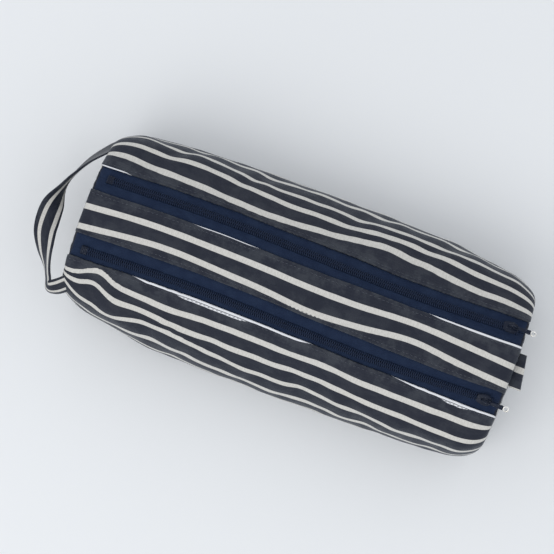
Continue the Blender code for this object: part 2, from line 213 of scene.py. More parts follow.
def surface(x, d):
    """The bag's smooth outer surface, carried on round the base past its middle line."""
    d = (d + HALF_GIRTH) % (2 * HALF_GIRTH) - HALF_GIRTH
    side = np.where(d < 0, -1.0, 1.0)
    y = np.interp(np.abs(d), OUTLINE_AT, OUTLINE[:, 0])
    z = np.interp(np.abs(d), OUTLINE_AT, OUTLINE[:, 1])
    bulge = np.clip((y - ZIP_CORNER_Y) / (HALF_WIDTH - ZIP_CORNER_Y), 0, 1) ** 1.5
    taper = SIDE_TAPER * (np.abs(x) / HALF) ** 3
    for (where, end), inset in PULLED_IN.items():
        here = (side == SIDES[where]) & ((x < 0) == (end == "left"))
        taper = taper + here * inset * smooth(np.abs(x), 0.095, 0.155)
    fuller = np.where(side > 0, FULLER["back"], FULLER["front"]) * smooth(np.abs(x), 0.020, 0.120)
    fuller = fuller * hump(np.abs(d), SHOULDER_AT, SHOULDER_REACH)
    swell = (side < 0) * FRONT_SWELL * smooth(np.abs(d), 0.070, 0.110) * (1 - smooth(np.abs(d), 0.145, 0.190))
    y = y - bulge * taper + 0.50 * fuller + swell
    z = z + 0.86 * fuller
    flank = np.clip((y - ZIP_CORNER_Y) / (FLANK_Y - ZIP_CORNER_Y), 0, 1)
    y = y - flank * CORNER_INSET * end_round(x, CORNER_REACH)
    z = z - TOP_DROP * end_round(x, TOP_REACH) * z / HEIGHT
    z = z + BASE_RISE * end_round(x, BASE_REACH) * (1 - z / HEIGHT)
    sway = -SWAY * np.sin(math.pi * x / HALF) * (1 - (x / HALF) ** 4) * (1 - smooth(np.abs(d), 0.045, 0.090))
    return np.stack([x - END_TUCK * smooth(x, 0.100, HALF) + 0 * d, side * y + sway, z], -1)


# Soft folds and dents: (x, across, direction in degrees from X towards the base, length, width, height)
FOLDS = [
    (-0.151, -0.060, 62, 0.020, 0.0070, -0.0020),
    (-0.134, -0.066, 58, 0.022, 0.0070, 0.0012),
    (-0.100, -0.080, 48, 0.030, 0.0080, -0.0018),
    (-0.048, -0.070, 52, 0.026, 0.0080, -0.0012),
    (-0.020, -0.084, 44, 0.030, 0.0090, 0.0010),
    (0.018, -0.072, 55, 0.028, 0.0075, -0.0016),
    (0.052, -0.072, 48, 0.026, 0.0085, 0.0010),
    (0.072, -0.084, 50, 0.030, 0.0080, -0.0016),
    (0.118, -0.078, 46, 0.028, 0.0080, -0.0016),
    (-0.125, 0.078, 50, 0.022, 0.0070, -0.0018),
    (-0.100, 0.088, 46, 0.028, 0.0085, 0.0010),
    (-0.062, 0.080, 50, 0.026, 0.0070, -0.0018),
    (-0.020, 0.088, 44, 0.032, 0.0090, 0.0010),
    (0.030, 0.084, 44, 0.030, 0.0075, -0.0020),
    (0.076, 0.066, 46, 0.024, 0.0080, -0.0018),
    (0.102, 0.088, 48, 0.026, 0.0080, -0.0016),
]


def folds(x, d):
    out = np.zeros(np.broadcast(x, d).shape)
    for fx, fd, angle, length, width, height in FOLDS:
        c, s = math.cos(math.radians(angle)), math.sin(math.radians(angle))
        side = 1 if fd > 0 else -1
        ahead = (x - fx) * c + (d - fd) * side * s
        across = -(x - fx) * s + (d - fd) * side * c
        out += height * hump(ahead, 0, length) * hump(across, 0, width)
    return out


def ripples(x, pitch, phase):
    """Irregular waves along x, of height about 1 and about the given pitch."""
    k = 2 * math.pi / pitch
    return (np.sin(k * x + phase) + 0.6 * np.sin(0.63 * k * x + 2.1 * phase)
            + 0.4 * np.sin(1.71 * k * x + 0.7 * phase)) / 1.6


def strip_edge(x, side):
    """Half the width of the strip between the zips."""
    if side > 0:
        half = 0.0176 + 0.0016 * smooth(x, -0.020, 0.050) - 0.0012 * smooth(x, 0.090, 0.160)
    else:
        half = 0.0171 + 0.0028 * smooth(x, 0.050, 0.160)
    return half + 0.0002 * ripples(x, 0.060, 1.0 + side)


def wrap_edge(x, side):
    """Where the wrap's fold lies along a zip."""
    if side > 0:
        rest = 0.0396 + 0.0016 * hump(x, 0.030, 0.035) - 0.0008 * smooth(-x, 0.120, HALF)
    else:
        rest = 0.0366 - 0.0008 * hump(x, 0.030, 0.060) + 0.0026 * smooth(x, 0.090, 0.160)
    return rest + 0.0002 * ripples(x, 0.052, 2.0 + side)


def relief(x, d):
    """How far folds, puckers and slack move the cloth along its outward normal."""
    side = np.where(d < 0, -1.0, 1.0)
    a = np.abs(d)
    low_down = 1 - smooth(a, 0.135, 0.175)
    outer = smooth(a, 0.040, 0.056) * low_down
    ends = 1 - smooth(np.abs(x), 0.158, HALF)
    out = outer * folds(x, d) * (0.35 + 0.65 * ends)
    slack = 0.0004 * ripples(x, 0.052, 1.3 + side) + 0.0003 * ripples(x + 0.7 * a, 0.030, side)
    out = out + outer * ends * slack
    strip = 1 - smooth(a, 0.012, 0.018)
    out = out + strip * ends * 0.0005 * ripples(x + 0.3 * d, 0.052, 0.4)
    from_wrap = np.clip(a - WRAP_EDGE, 0, 1)
    from_strip = np.clip(0.019 - a, 0, 1)
    pucker = hump(from_wrap, 0.003, 0.005) * (a > 0.037) + hump(from_strip, 0.003, 0.004) * (a < 0.022)
    return out + pucker * ends * 0.00028 * ripples(x, 0.0085, 0.9 + side + (a > 0.03))


def normals(place, x, d):
    step = 0.0004
    along = place(x + step, d) - place(x - step, d)
    across = place(x, d + step) - place(x, d - step)
    return unit(np.cross(along, across))


def cloth(x, d):
    """The wrinkled outer surface."""
    return surface(x, d) + normals(surface, x, d) * relief(x, d)[..., None]


def under_cloth(x, d, depth):
    return cloth(x, d) - normals(cloth, x, d) * np.asarray(depth)[..., None]


def lip_weight(x, d):
    """A weight for how far a point would follow its zip lip: fully mid-zip, not at the ends or down the side.
    """
    lens = smooth(x, LIP_LIFT_START, -0.050) * (1 - smooth(x, 0.062, 0.148))
    return lens * (1 - smooth(np.abs(d), 0.064, 0.0775))


# -------- mesh helpers

def new_piece(name, points, faces, looks, face_looks=None, facts=None, flat=False):
    """A named object from points and faces, with its materials and the facts that they read."""
    if not np.isfinite(points).all():
        raise ValueError(name + " has points with no place")
    mesh = bpy.data.meshes.new(name)
    mesh.from_pydata(np.asarray(points, float).tolist(), [], [list(map(int, f)) for f in faces])
    for look in looks:
        mesh.materials.append(look)
    if face_looks is not None:
        mesh.polygons.foreach_set("material_index", np.asarray(face_looks, np.int32))
    for fact, values in (facts or {}).items():
        values = np.asarray(values, np.float32)
        kind, field = ("FLOAT_VECTOR", "vector") if values.ndim == 2 else ("FLOAT", "value")
        mesh.attributes.new(fact, kind, "POINT").data.foreach_set(field, values.ravel())
    if not flat:
        mesh.shade_smooth()
    mesh.update()
    obj = bpy.data.objects.new(name, mesh)
    bpy.context.scene.collection.objects.link(obj)
    return obj


def grid_faces(rows, columns, start=0, flip=False):
    index = np.arange(rows * columns).reshape(rows, columns) + start
    quads = np.stack([index[:-1, :-1], index[1:, :-1], index[1:, 1:], index[:-1, 1:]], -1).reshape(-1, 4)
    return quads[:, ::-1] if flip else quads


def shell_faces(rows, columns):
    """Faces of a closed sheet whose outer grid comes first and whose inner grid follows."""
    outer = np.arange(rows * columns).reshape(rows, columns)
    inner = outer + rows * columns
    top = grid_faces(rows, columns)
    bottom = grid_faces(rows, columns, rows * columns, flip=True)
    rims = []
    for edge, other in ((outer[:, 0], inner[:, 0]), (outer[-1, :], inner[-1, :]),
                        (outer[::-1, -1], inner[::-1, -1]), (outer[0, ::-1], inner[0, ::-1])):
        rims.append(np.stack([edge[1:], edge[:-1], other[:-1], other[1:]], -1))
    rims = np.concatenate(rims)
    looks = np.concatenate([np.zeros(len(top)), np.ones(len(bottom)), np.zeros(len(rims))])
    return np.concatenate([top, bottom, rims]), looks


def shell(name, x, d, top, bottom, looks, facts=None):
    """A closed sheet that follows the cloth between two depths, over a grid of x and across."""
    outer = under_cloth(x, d, top + 0 * x)
    inner = under_cloth(x, d, bottom + 0 * x)
    faces, face_looks = shell_faces(*x.shape)
    points = np.concatenate([outer.reshape(-1, 3), inner.reshape(-1, 3)])
    doubled = {}
    for fact, values in (facts or {}).items():
        doubled[fact] = np.concatenate([values.reshape(x.size, -1)] * 2).squeeze()
    if len(looks) == 1:
        face_looks = None
    return new_piece(name, points, faces, looks, face_looks, doubled)


STATION_STEP = 0.0017
EVEN_TO = 0.160


def stations(start, end):
    """Places along the bag, closer together where its ends round off."""
    middle = np.linspace(-EVEN_TO, EVEN_TO, round(2 * EVEN_TO / STATION_STEP))
    turn = np.linspace(0, math.pi / 2, 11)[1:]
    ends = EVEN_TO + (HALF - EVEN_TO) * np.sin(turn)
    places = np.concatenate([-ends[::-1], middle, ends])
    inside = places[(places > start + 0.0002) & (places < end - 0.0002)]
    return np.concatenate([[start], inside, [end]])


def joined(name, parts, look):
    """One piece from several small meshes, and which of them each of its points is from."""
    points, faces, owner, base = [], [], [], 0
    for n, (part_points, part_faces) in enumerate(parts):
        points.append(part_points)
        faces += [[v + base for v in f] for f in part_faces]
        owner.append(np.full(len(part_points), n))
        base += len(part_points)
    return new_piece(name, np.concatenate(points), faces, [look]), np.concatenate(owner)


def ring_faces(rings, count):
    """Quads between rings of points, each ring closed on itself."""
    faces = []
    for k in range(rings - 1):
        for n in range(count):
            m = (n + 1) % count
            faces.append([k * count + n, k * count + m, (k + 1) * count + m, (k + 1) * count + n])
    return faces


def tube(path, radii, sides=6, up=(0, 0, 1)):
    """A round rod along a path, with closed ends."""
    path = np.asarray(path, float)
    radii = np.broadcast_to(radii, len(path))
    along = unit(np.gradient(path, axis=0))
    across = np.cross(along, np.broadcast_to(up, along.shape))
    across /= np.linalg.norm(across, axis=1, keepdims=True) + 1e-12
    over = np.cross(across, along)
    angles = np.arange(sides) * 2 * math.pi / sides
    ring = across[:, None] * np.cos(angles)[None, :, None] + over[:, None] * np.sin(angles)[None, :, None]
    points = (path[:, None] + ring * radii[:, None, None]).reshape(-1, 3)
    faces = ring_faces(len(path), sides)
    faces.append(list(range(sides))[::-1])
    faces.append([(len(path) - 1) * sides + n for n in range(sides)])
    return points, faces


def follow_lip(obj):
    """Bakes a piece's transform into its points."""
    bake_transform(obj)


# -------- materials

class Look:
    """A material made of nodes, with short ways to add them."""

    def __init__(self, name, roughness=0.6, metallic=0.0):
        self.material = bpy.data.materials.new(name)
        self.material.use_nodes = True
        self.tree = self.material.node_tree
        self.shader = self.tree.nodes["Principled BSDF"]
        self.shader.inputs["Roughness"].default_value = roughness
        self.shader.inputs["Metallic"].default_value = metallic

    def put(self, socket, value):
        if isinstance(value, bpy.types.NodeSocket):
            self.tree.links.new(value, socket)
        elif value is not None:
            socket.default_value = value

    def finished(self, values):
        """The material, with values or links at its shader's named inputs."""
        for name, value in values.items():
            self.put(self.shader.inputs[name], value)
        return self.material

    def node(self, kind, values):
        """A new node with values or links at its named or numbered inputs."""
        node = self.tree.nodes.new("ShaderNode" + kind)
        for name, value in values.items():
            self.put(node.inputs[name], value)
        return node

    def math(self, operation, a, b=None, c=None):
        node = self.node("Math", {0: a, 1: b, 2: c})
        node.operation = operation
        return node.outputs[0]

    def times(self, a, b):
        return self.math("MULTIPLY", a, b)

    def fact(self, name, output="Fac"):
        node = self.tree.nodes.new("ShaderNodeAttribute")
        node.attribute_name = name
        return node.outputs[output]

    def split(self, vector):
        return self.node("SeparateXYZ", {0: vector}).outputs

    def place(self):
        return self.tree.nodes.new("ShaderNodeTexCoord").outputs["Object"]

    def scaled(self, vector, scale):
        return self.node("Mapping", {"Vector": vector, "Scale": scale}).outputs[0]

    def noise(self, vector, scale, detail=3.0, roughness=0.55):
        values = {"Vector": vector, "Scale": scale, "Detail": detail, "Roughness": roughness}
        return self.node("TexNoise", values).outputs["Fac"]

    def ramp(self, value, low, high, out_low=0.0, out_high=1.0):
        node = self.node("MapRange", {"Value": value, "From Min": low, "From Max": high,
                                      "To Min": out_low, "To Max": out_high})
        node.interpolation_type = "SMOOTHSTEP"
        return node.outputs[0]

    def mix(self, share, a, b):
        node = self.tree.nodes.new("ShaderNodeMix")
        node.data_type = "RGBA"
        self.put(node.inputs["Factor"], share)
        for name, value in (("A", a), ("B", b)):
            socket = next(s for s in node.inputs if s.name == name and s.type == "RGBA")
            self.put(socket, value if isinstance(value, bpy.types.NodeSocket) else (*value, 1))
        return next(s for s in node.outputs if s.type == "RGBA")

    def waves(self, value, pitch):
        """A sine of the given pitch, from 0 to 1."""
        turned = self.times(value, 2 * math.pi / pitch)
        return self.math("MULTIPLY_ADD", self.math("SINE", turned), 0.5, 0.5)

    def bump(self, height, distance, strength=1.0, under=None):
        values = {"Strength": strength, "Distance": distance, "Height": height, "Normal": under}
        return self.node("Bump", values).outputs[0]

    def weave(self, u, v, pitch):
        """Plain weave: threads of the given pitch that pass over and under each other."""
        return self.times(self.waves(u, pitch), self.waves(v, pitch))


NAVY = (0.0070, 0.0100, 0.0220)
# Painted sheen: the lighter grey navy that the sheen patches are painted in
NAVY_PAINTED_SHEEN = (0.0260, 0.0310, 0.0430)
NAVY_WORN = (0.0450, 0.0500, 0.0580)
CREAM = (0.630, 0.616, 0.585)
CREAM_SHADE = (0.555, 0.542, 0.512)
CREAM_EDGE = (0.740, 0.750, 0.780)
STRIPE_BLUR = 0.00012
GAP_START, GAP_END = 0.0016, 0.0023


def stripe_share(look, across, wobble):
    """1 on a cream stripe and 0 on the navy between."""
    turns = look.math("DIVIDE", across, PERIOD)
    off = look.math("SUBTRACT", turns, look.math("ROUND", turns))
    apart = look.times(look.math("ABSOLUTE", off), PERIOD)
    apart = look.math("ADD", apart, wobble)
    return look.ramp(apart, CREAM_WIDTH / 2 - STRIPE_BLUR, CREAM_WIDTH / 2 + STRIPE_BLUR, 1.0, 0.0)


def cloth_look(name, webbing=False):
    """Coated cloth with woven cream stripes and painted sheen patches on its navy. It reads each point's
    place on the cut cloth.
    """
    look = Look(name, 0.55)
    spot = look.fact("fabric", "Vector")
    along, across, edge = look.split(spot)
    drift = look.math("MULTIPLY_ADD", look.noise(look.scaled(spot, (60, 400, 1)), 1.0), 0.0005, -0.00025)
    cream = stripe_share(look, across, drift)
    line = look.fact("line")
    folded = look.math("LESS_THAN", edge, line)
    gap = look.times(look.math("GREATER_THAN", edge, GAP_START), look.math("LESS_THAN", edge, GAP_END))
    folded = look.times(folded, look.math("SUBTRACT", 1.0, look.times(gap, 0.85)))
    # Painted sheen: noise patches of lighter grey navy mixed into the colour, stronger by the zips. The same
    # patches also lower the roughness, which is real gloss.
    patches = look.ramp(look.noise(spot, 75.0, 5.0, 0.68), 0.40, 0.64)
    painted_sheen_near_zip = look.ramp(edge, 0.004, 0.018, 1.0, 0.30)
    navy = look.mix(look.times(patches, painted_sheen_near_zip), NAVY, NAVY_PAINTED_SHEEN)
    specks = look.ramp(look.noise(spot, 420.0), 0.40, 0.62)
    rubbed = look.times(look.ramp(edge, 0.0, 0.0014, 0.8, 0.0), specks)
    navy = look.mix(rubbed, navy, NAVY_WORN)
    threads = look.weave(along, across, 0.00052)
    mottle = look.ramp(look.noise(look.scaled(spot, (900, 260, 1)), 1.0, 2.0), 0.35, 0.65)
    pale = look.mix(mottle, CREAM_SHADE, CREAM)
    colour = look.mix(cream, navy, pale)
    colour = look.mix(folded, colour, CREAM_EDGE)
    colour = look.mix(look.times(threads, 0.07), colour, (0.10, 0.11, 0.13))
    crumple = look.ramp(edge, 0.003, 0.020, 1.0, 0.45)
    creases = look.noise(look.scaled(spot, (210, 130, 1)), 1.0, 5.0, 0.6)
    creases = look.bump(look.times(creases, crumple), 0.0013, 0.45)
    fine = look.bump(threads, 0.00012, 0.5, creases)
    if webbing:
        fine = look.bump(look.waves(along, 0.0011), 0.00022, 0.7, fine)
    return look.finished({
        "Base Color": colour, "Roughness": look.math("MULTIPLY_ADD", patches, -0.14, 0.62),
        "Specular IOR Level": 0.28, "Sheen Weight": 0.10, "Sheen Roughness": 0.45,
        "Sheen Tint": (0.62, 0.70, 0.80, 1), "Normal": fine})


def tape_look():
    """Woven polyester zip tape: fine lengthwise ribs over a twill."""
    look = Look("zip_tape", 0.72)
    spot = look.fact("fabric", "Vector")
    along, across, _ = look.split(spot)
    patches = look.ramp(look.noise(spot, 90.0, 4.0), 0.35, 0.70)
    twill = look.waves(look.math("ADD", along, look.times(across, 1.6)), 0.00075)
    ribs = look.waves(across, 0.00095)
    base = look.mix(patches, (0.0080, 0.0165, 0.0440), (0.0130, 0.0240, 0.0560))
    first = look.bump(twill, 0.00012, 0.6)
    return look.finished({
        "Base Color": look.mix(look.times(twill, 0.25), base, (0.024, 0.040, 0.082)),
        "Specular IOR Level": 0.10, "Sheen Weight": 0.06, "Sheen Tint": (0.50, 0.60, 0.85, 1),
        "Normal": look.bump(ribs, 0.00018, 0.6, first)})


def coil_look():
    """Navy nylon filament with a slight polish on its high spots."""
    look = Look("zip_coil", 0.38)
    spot = look.place()
    base = look.mix(look.noise(spot, 240.0), (0.0065, 0.0135, 0.0360), (0.0145, 0.0255, 0.0600))
    return look.finished({
        "Base Color": base, "Roughness": look.ramp(look.noise(spot, 700.0), 0.3, 0.7, 0.38, 0.56),
        "Specular IOR Level": 0.22, "Normal": look.bump(look.noise(spot, 1500.0), 0.00005, 0.5)})


def thread_look():
    """Twisted polyester sewing thread."""
    look = Look("navy_thread", 0.5)
    along, across, up = look.split(look.place())
    slant = look.times(look.math("ADD", across, up), 1.2)
    twist = look.waves(look.math("ADD", along, slant), 0.00045)
    return look.finished({
        "Base Color": look.mix(look.times(twist, 0.5), (0.020, 0.027, 0.048), (0.060, 0.072, 0.105)),
        "Sheen Weight": 0.3, "Normal": look.bump(twist, 0.00010, 0.8)})


def lacquer_look():
    """Navy lacquer on cast zinc, worn to the metal in specks."""
    look = Look("slider_lacquer", 0.42)
    spot = look.place()
    specks = look.ramp(look.noise(spot, 1700.0, 5.0), 0.66, 0.72)
    base = look.mix(look.noise(spot, 300.0), (0.0050, 0.0085, 0.0200), (0.0090, 0.0140, 0.0300))
    return look.finished({
        "Base Color": look.mix(specks, base, (0.30, 0.31, 0.33)),
        "Roughness": look.ramp(look.noise(spot, 900.0), 0.3, 0.7, 0.34, 0.52),
        "Specular IOR Level": 0.16, "Coat Weight": 0.05, "Coat Roughness": 0.25,
        "Normal": look.bump(look.noise(spot, 800.0), 0.00006, 0.4)})


def nickel_look():
    """Polished nickel plate with hairline scratches and a little tarnish."""
    look = Look("nickel", 0.16, 1.0)
    spot = look.place()
    hairs = look.noise(look.scaled(spot, (300, 4200, 4200)), 1.0, 4.0)
    tarnish = look.ramp(look.noise(spot, 520.0, 4.0), 0.52, 0.75)
    return look.finished({
        "Base Color": look.mix(tarnish, (0.80, 0.79, 0.77), (0.50, 0.45, 0.36)),
        "Roughness": look.ramp(hairs, 0.3, 0.7, 0.12, 0.34), "Normal": look.bump(hairs, 0.00003, 0.5)})


def lining_look():
    """Thin dark woven lining with soft creases."""
    look = Look("lining", 0.70)
    spot = look.place()
    x, y, z = look.split(spot)
    threads = look.weave(look.math("ADD", x, y), look.math("ADD", z, y), 0.0008)
    base = look.mix(look.noise(spot, 60.0, 4.0), (0.0120, 0.0160, 0.0260), (0.0240, 0.0300, 0.0440))
    creases = look.bump(look.noise(spot, 70.0, 5.0), 0.0012, 0.4)
    return look.finished({
        "Base Color": look.mix(look.times(threads, 0.25), base, (0.050, 0.058, 0.075)),
        "Sheen Weight": 0.2, "Normal": look.bump(threads, 0.00014, 0.5, creases)})


def floor_look():
    """A plain pale board."""
    look = Look("floor", 0.85)
    board = look.mix(look.noise(look.place(), 1.5, 2.0), (0.785, 0.800, 0.820), (0.815, 0.830, 0.848))
    return look.finished({"Base Color": board})


STRIPED = cloth_look("striped_fabric")
WEBBING = cloth_look("striped_webbing", webbing=True)
TAPE_LOOK = tape_look()
COIL = coil_look()
THREAD = thread_look()
LACQUER = lacquer_look()
NICKEL = nickel_look()
LINING = lining_look()


# -------- cloth pieces

LINE_FADE = 0.006


def between(x, start, end):
    """1 from start to end, fading out over a short way at both."""
    return smooth(x, start - LINE_FADE, start + LINE_FADE) * (1 - smooth(x, end - LINE_FADE, end + LINE_FADE))


def strip_line(x):
    """How wide the pale line shows where the strip folds under beside the back zip."""
    return (0.0007 * between(x, -0.088, -0.042) + 0.0013 * smooth(x, 0.096, 0.112)
            + 0.0007 * smooth(x, 0.125, 0.140))


def wrap_line(x, suffix):
    """How wide the pale line shows where the wrap folds under beside a zip."""
    if suffix == "back":
        return 0.0006 * (1 - smooth(x, -0.158, -0.150))
    single = 0.0015 * (between(x, -0.116, 0.018) + smooth(x, 0.088, 0.112))
    return single + 0.0022 * (between(x, -0.084, -0.030) + between(x, 0.132, 0.152))


def fold_round(edge):
    """How far the outer face drops as it turns over the fold."""
    inside = np.clip(FOLD_ROUND - edge, 0, FOLD_ROUND)
    return FOLD_ROUND - np.sqrt(FOLD_ROUND ** 2 - inside ** 2)


def edge_steps():
    """Places by a fold, from its edge inward."""
    turn = np.linspace(0.08, math.pi / 2, 5)
    flat = [0.0009, 0.0013, 0.0017, 0.0022, 0.0028, 0.0036]
    return np.concatenate([FOLD_ROUND * (1 - np.cos(turn)), flat])


# How the cream stripes run on the worn bag: a distance at rest, then bends (middle, reach, how far out)
FIRST_STRIPE = {
    "back": (0.0510, [(-0.190, 0.045, 0.0080), (-0.050, 0.035, -0.0037), (0.058, 0.046, 0.0100)]),
    "front": (0.0520, [(-0.185, 0.015, 0.0035), (-0.148, 0.013, -0.0100), (-0.085, 0.025, 0.0018),
                       (0.036, 0.020, -0.0022), (0.200, 0.070, 0.0046)])}
# The gaps to the second stripe and from it to the third, which folds squeeze or draw apart
STRIPE_GAPS = {
    "back": [(0.0148, [(-0.082, 0.056, 0.0054), (0.048, 0.037, -0.0042)]),
             (0.0132, [(-0.155, 0.025, 0.0040), (0.068, 0.038, -0.0036)])],
    "front": [(0.0155, [(-0.182, 0.024, -0.0090), (-0.102, 0.034, -0.0052), (0.180, 0.060, 0.0015)]),
              (0.0155, [(-0.178, 0.020, -0.0085), (-0.145, 0.016, 0.0080), (-0.084, 0.036, -0.0080),
                        (0.120, 0.025, 0.0025)])]}
STRIP_STRIPES = [
    (-0.0100, [(-0.190, 0.035, -0.0030), (-0.105, 0.040, 0.0024), (0.012, 0.028, -0.0025),
               (0.093, 0.032, 0.0050), (0.185, 0.040, -0.0036)]),
    (0.0050, [(-0.190, 0.030, -0.0019), (-0.120, 0.035, 0.0010), (0.010, 0.030, -0.0006),
              (0.090, 0.036, 0.0028), (0.185, 0.040, -0.0039)])]


def bent(x, run):
    """A distance along the bag: its value at rest, with its bends."""
    rest, bends = run
    return rest + sum(out * hump(x, middle, reach) for middle, reach, out in bends)


def wrap_stripes(x, suffix):
    """The middles of the first three cream stripes beside a zip."""
    first = bent(x, FIRST_STRIPE[suffix])
    second = first + bent(x, STRIPE_GAPS[suffix][0])
    return np.stack([first, second, second + bent(x, STRIPE_GAPS[suffix][1])], 1)


def strip_stripes(x):
    return np.stack([bent(x, run) for run in STRIP_STRIPES], 1)


def cut_place(across, middles, width, far=None):
    """Places on the cut cloth, where stripe n lies n periods along, for rows of distances across."""
    on_cloth = np.arange(middles.shape[1]) * PERIOD
    around = np.array([-0.6, 0.6])
    level = (on_cloth[:, None] + around * CREAM_WIDTH).ravel()
    level = np.concatenate([[level[0] - PERIOD / 2], level, [far[1] if far else level[-1] + PERIOD / 2]])
    out = np.empty(across.shape)
    for k, row in enumerate(middles):
        bends = (row[:, None] + around * np.reshape(width, (-1, 1))).ravel()
        bends = np.concatenate([[bends[0] - 0.04], bends, [far[0] if far else bends[-1] + 0.04]])
        out[k] = np.interp(across[k], bends, level)
    return out


def striped_sheet(name, x, d, edge, stripes, line):
    """A lined sheet of striped cloth, rounded over at its folds and thicker by them."""
    round_over = fold_round(edge)
    facts = {"fabric": np.stack([x, stripes, edge], -1), "line": line}
    obj = shell(name, x, d, round_over, CLOTH + HEM * (edge < HEM_WIDTH) - round_over * 0.9,
                [STRIPED, LINING], facts)
    return obj


def wrap(suffix):
    """The striped cloth from one zip down its side to the middle of the base."""
    side = SIDES[suffix]
    xs = stations(-HALF, HALF)
    edges = wrap_edge(xs, side)
    near = edge_steps()
    far = np.linspace(EVEN_STEPS_FROM, HALF_GIRTH - WRAP_EDGE, 104)
    steps = np.concatenate([near, far])
    stretch = np.concatenate([np.zeros(len(near)), (far - far[0]) / (far[-1] - far[0])])
    x = np.repeat(xs[:, None], len(steps), 1)
    edge = steps[None, :] + (WRAP_EDGE - edges)[:, None] * stretch[None, :]
    d = edges[:, None] + edge
    base = (HALF_GIRTH, HALF_GIRTH - FIRST_CREAM[suffix])
    stripes = cut_place(d, wrap_stripes(xs, suffix), WRAP_CREAM[suffix], base)
    if side < 0:
        x, d, edge, stripes = x[:, ::-1], -d[:, ::-1], edge[:, ::-1], stripes[:, ::-1]
    obj = striped_sheet("wrap_" + suffix, x, d, edge, stripes, wrap_line(x, suffix))
    follow_lip(obj)
    return obj


def centre_strip():
    """The striped strip between the zips, thicker where it is folded under along its edges."""
    xs = stations(-HALF, HALF)
    near = edge_steps()
    back, front = strip_edge(xs, 1), strip_edge(xs, -1)
    inner = np.linspace(-1, 1, 26)
    reach = near[-1] + 0.0010
    columns = [-(front[:, None] - near[None, :])]
    share = (inner[None, :] + 1) / 2
    columns.append(-(front - reach)[:, None] * (1 - share) + (back - reach)[:, None] * share)
    columns.append(back[:, None] - near[None, ::-1])
    d = np.concatenate(columns, 1)
    x = np.repeat(xs[:, None], d.shape[1], 1)
    edge = np.minimum(back[:, None] - d, d + front[:, None])
    across = cut_place(d, strip_stripes(xs), STRIP_CREAM)
    obj = striped_sheet("strip_between_zips", x, d, edge, across, np.where(d > 0, strip_line(x), 0))
    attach(obj, "bag")
    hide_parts("centre_strip")


def end_panel(name, end):
    """The cloth that closes one end: gathered in a seam at its rim, and bulging softly."""
    count = 264
    around = np.linspace(-HALF_GIRTH, HALF_GIRTH, count, endpoint=False)
    x = np.full(count, end * (HALF - 0.0007))
    depth = np.where(np.abs(np.abs(around) - ZIP_MIDDLE) < 0.0105, 0.0029, 0.0014)
    rim = under_cloth(x, around, depth)
    x = x - END_TUCK * (end > 0)
    centre = np.array([0.0, 0.0, rim[:, 2].mean()])
    shares = np.concatenate([[1.0, 0.996, 0.99, 0.982, 0.972, 0.96], np.linspace(0.945, 0.02, 34)])
    angle = np.arctan2(rim[:, 2] - centre[2], rim[:, 1])
    rings = []
    for share in shares:
        swell = 0.0036 * (1 - share ** 3) - 0.0012 * hump(share, 0.985, 0.012)
        gather = 0.0005 * hump(share, 0.93, 0.05) * ripples(angle, 0.16, 1.0 + end)
        crease = 0.0008 * hump(share, 0.6, 0.3) * np.sin(2 * angle + 0.8 + end) * np.sin(3 * angle)
        out = x + end * (swell + gather + crease)
        rings.append(np.stack([out, rim[:, 1] * share, centre[2] + (rim[:, 2] - centre[2]) * share], -1))
    outer = np.stack(rings)
    inner = outer - np.array([end * 0.0010, 0, 0])
    points = np.concatenate([outer.reshape(-1, 3), inner.reshape(-1, 3)])
    size = len(shares) * count
    outside = ring_faces(len(shares), count) + [list(range(size - count, size))]
    inside = [[v + size for v in face[::-1]] for face in outside]
    rim_faces = [[n, n + size, (n + 1) % count + size, (n + 1) % count] for n in range(count)]
    faces = outside + inside + rim_faces
    if end > 0:
        faces = [face[::-1] for face in faces]
    looks = [0] * len(outside) + [1] * len(inside) + [0] * count
    stripes = points[:, 2] - RIM_NAVY - PERIOD / 2
    spot = np.stack([points[:, 1], stripes, np.full(len(points), 0.05)], -1)
    obj = new_piece(name + "_cloth", points, faces, [STRIPED, LINING], looks,
                    {"fabric": spot, "line": np.zeros(len(points))})
    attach(obj, "bag")
    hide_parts(name)


def divider():
    """The lining wall between the two shoes, slack between its seams."""
    low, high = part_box("divider_panel")
    xs = np.linspace(low.x, high.x, 110)
    zs = np.linspace(low.z, high.z, 34)
    x, z = np.meshgrid(xs, zs, indexing="ij")
    held = np.sin(math.pi * (x - low.x) / (high.x - low.x)) * np.sin(math.pi * (z - low.z) / (high.z - low.z))
    wave = DIVIDER_SLACK * held * (ripples(x + 0.5 * z, 0.120, 0.5) + 0.4 * ripples(x - z, 0.047, 1.5))
    sides = [np.stack([x, wave + y, z], -1).reshape(-1, 3) for y in (-DIVIDER_HALF, DIVIDER_HALF)]
    faces, _ = shell_faces(*x.shape)
    obj = new_piece("divider_cloth", np.concatenate(sides), faces, [LINING])
    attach(obj, "bag")
    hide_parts("divider_panel")


def seam_binding(name, end):
    """Bias tape over the raw edge of an end seam, inside the bag."""
    low, high = sorted(end * x for x in BINDING_X)
    xs = np.linspace(low, high, 9)
    d = np.linspace(BINDING_START, 2 * HALF_GIRTH - BINDING_START, 250)
    d = np.where(d > HALF_GIRTH, d - 2 * HALF_GIRTH, d)
    x, d = np.meshgrid(xs, d, indexing="ij")
    swell = 0.0005 * np.sin(math.pi * (x - low) / (high - low))
    top = 0.0019 + 0 * x
    bottom = 0.0024 + swell + 0.0002 * ripples(np.abs(d), 0.009, 1.0)
    obj = shell(name + "_tape", x, d, top, bottom, [LINING])
    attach(obj, "bag")
    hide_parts(name)


